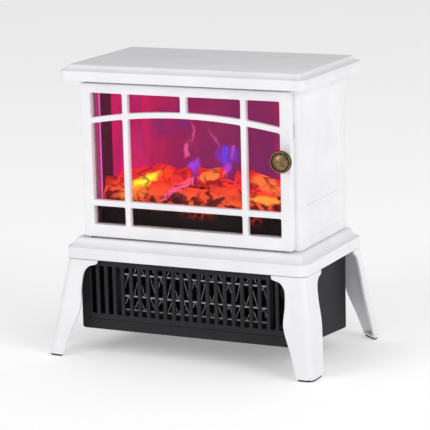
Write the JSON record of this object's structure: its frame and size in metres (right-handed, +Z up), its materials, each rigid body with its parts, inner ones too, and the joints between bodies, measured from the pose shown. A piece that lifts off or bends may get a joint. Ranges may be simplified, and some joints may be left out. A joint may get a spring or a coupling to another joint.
{
  "type": "electric fireplace",
  "caption": "Free-standing electric fireplace heater: glazed opening door, glowing log bed, flame screen, and a blower heater under a moulded plinth on splayed legs.",
  "frame": {"origin": "on the floor, under the middle of the rectangle that the four feet touch", "axes": "+Z up, front with the door and the outlet grille toward -Y, door hinges on the -X side, knob on the +X side"},
  "size_m": [0.295, 0.184, 0.2977],
  "materials": {
    "white_moulding": "satin white injection-moulded ABS",
    "clear_pane": "clear flat tempered pane",
    "sheet_steel": "bright zinc-plated sheet",
    "turned_steel": "turned and plated",
    "motor_case": "zinc-plated motor can",
    "antique_brass": "aged brass, darkened in the groove",
    "magnet_ferrite": "ferrite magnet in a moulded holder",
    "smoked_mirror": "smoked mirror acrylic",
    "firebox_black": "matt black sheet",
    "flame_film": "translucent printed screen, lit from behind",
    "ember_resin": "translucent resin with painted black crust, lit from below",
    "log_resin": "translucent resin logs with painted bark, lit from below",
    "circuit_board": "green glass-fibre board with parts",
    "bright_aluminium": "mill finish",
    "natural_nylon": "unpigmented nylon",
    "black_moulding": "fine-grained black flame-retardant plastic",
    "rocker_black": "smooth black rocker cap",
    "black_rubber": "matt black rubber"
  },
  "bodies": {
    "cabinet": {"lid": "white_moulding", "top_deck": "white_moulding", "front_surround": "white_moulding", "left_side_panel": "white_moulding", "right_side_panel": "white_moulding", "back_cover": "white_moulding", "plinth": "white_moulding", "front_left_leg": "white_moulding", "front_right_leg": "white_moulding", "rear_left_leg": "white_moulding", "rear_right_leg": "white_moulding", "upper_hinge_bracket": "sheet_steel", "lower_hinge_bracket": "sheet_steel", "spindle_motor_stand": "sheet_steel", "spindle_end_stand": "sheet_steel", "air_duct": "sheet_steel", "motor_plate": "sheet_steel", "upper_hinge_pin": "turned_steel", "lower_hinge_pin": "turned_steel", "spindle_motor": "motor_case", "fan_motor": "motor_case", "door_magnet": "magnet_ferrite", "firebox_left_wall": "smoked_mirror", "firebox_right_wall": "smoked_mirror", "firebox_ceiling": "firebox_black", "flame_screen": "flame_film", "ember_bed": "ember_resin", "log_set": "log_resin", "ember_led_board": "circuit_board", "flame_led_board": "circuit_board", "control_board": "circuit_board", "flame_mask": "bright_aluminium", "ptc_element": "bright_aluminium", "spindle_bush": "natural_nylon", "fan_bearing": "natural_nylon", "tilt_switch": "natural_nylon", "thermal_cutout": "natural_nylon", "heater_housing": "black_moulding", "outlet_grille": "black_moulding", "housing_rear_cover": "black_moulding", "element_frame": "black_moulding", "switch_bezel": "black_moulding", "front_left_foot_pad": "black_rubber", "front_right_foot_pad": "black_rubber", "rear_left_foot_pad": "black_rubber", "rear_right_foot_pad": "black_rubber", "cord_gland": "black_rubber"},
    "door": {"door_frame": "white_moulding", "door_glass": "clear_pane", "glass_retainer": "sheet_steel", "door_knob": "antique_brass", "knob_screw": "turned_steel", "strike_plate": "sheet_steel"},
    "flame_rotor": {"flame_spindle": "bright_aluminium"},
    "fan_rotor": {"fan_wheel": "black_moulding", "fan_shaft": "turned_steel"},
    "flame_rocker": {"flame_switch": "rocker_black"},
    "low_heat_rocker": {"low_heat_switch": "rocker_black"},
    "high_heat_rocker": {"high_heat_switch": "rocker_black"}
  },
  "joints": [
    {"name": "door_hinge", "type": "hinge", "parent": "cabinet", "child": "door", "pos_m": [-0.1115, -0.0575, 0.2], "axis": [0, 0, -1], "range_deg": [0, 110]},
    {"name": "flame_spindle_spin", "type": "hinge", "parent": "cabinet", "child": "flame_rotor", "pos_m": [0, 0.01325, 0.165], "axis": [1, 0, 0], "continuous": true},
    {"name": "fan_spin", "type": "hinge", "parent": "cabinet", "child": "fan_rotor", "pos_m": [0, 0.00925, 0.066], "axis": [1, 0, 0], "continuous": true},
    {"name": "flame_switch_rock", "type": "hinge", "parent": "cabinet", "child": "flame_rocker", "pos_m": [-0.039, 0.06845, 0.215], "axis": [1, 0, 0], "range_deg": [0, 16]},
    {"name": "low_heat_switch_rock", "type": "hinge", "parent": "cabinet", "child": "low_heat_rocker", "pos_m": [-0.055, 0.06845, 0.215], "axis": [1, 0, 0], "range_deg": [0, 16]},
    {"name": "high_heat_switch_rock", "type": "hinge", "parent": "cabinet", "child": "high_heat_rocker", "pos_m": [-0.071, 0.06845, 0.215], "axis": [1, 0, 0], "range_deg": [0, 16]}
  ]
}
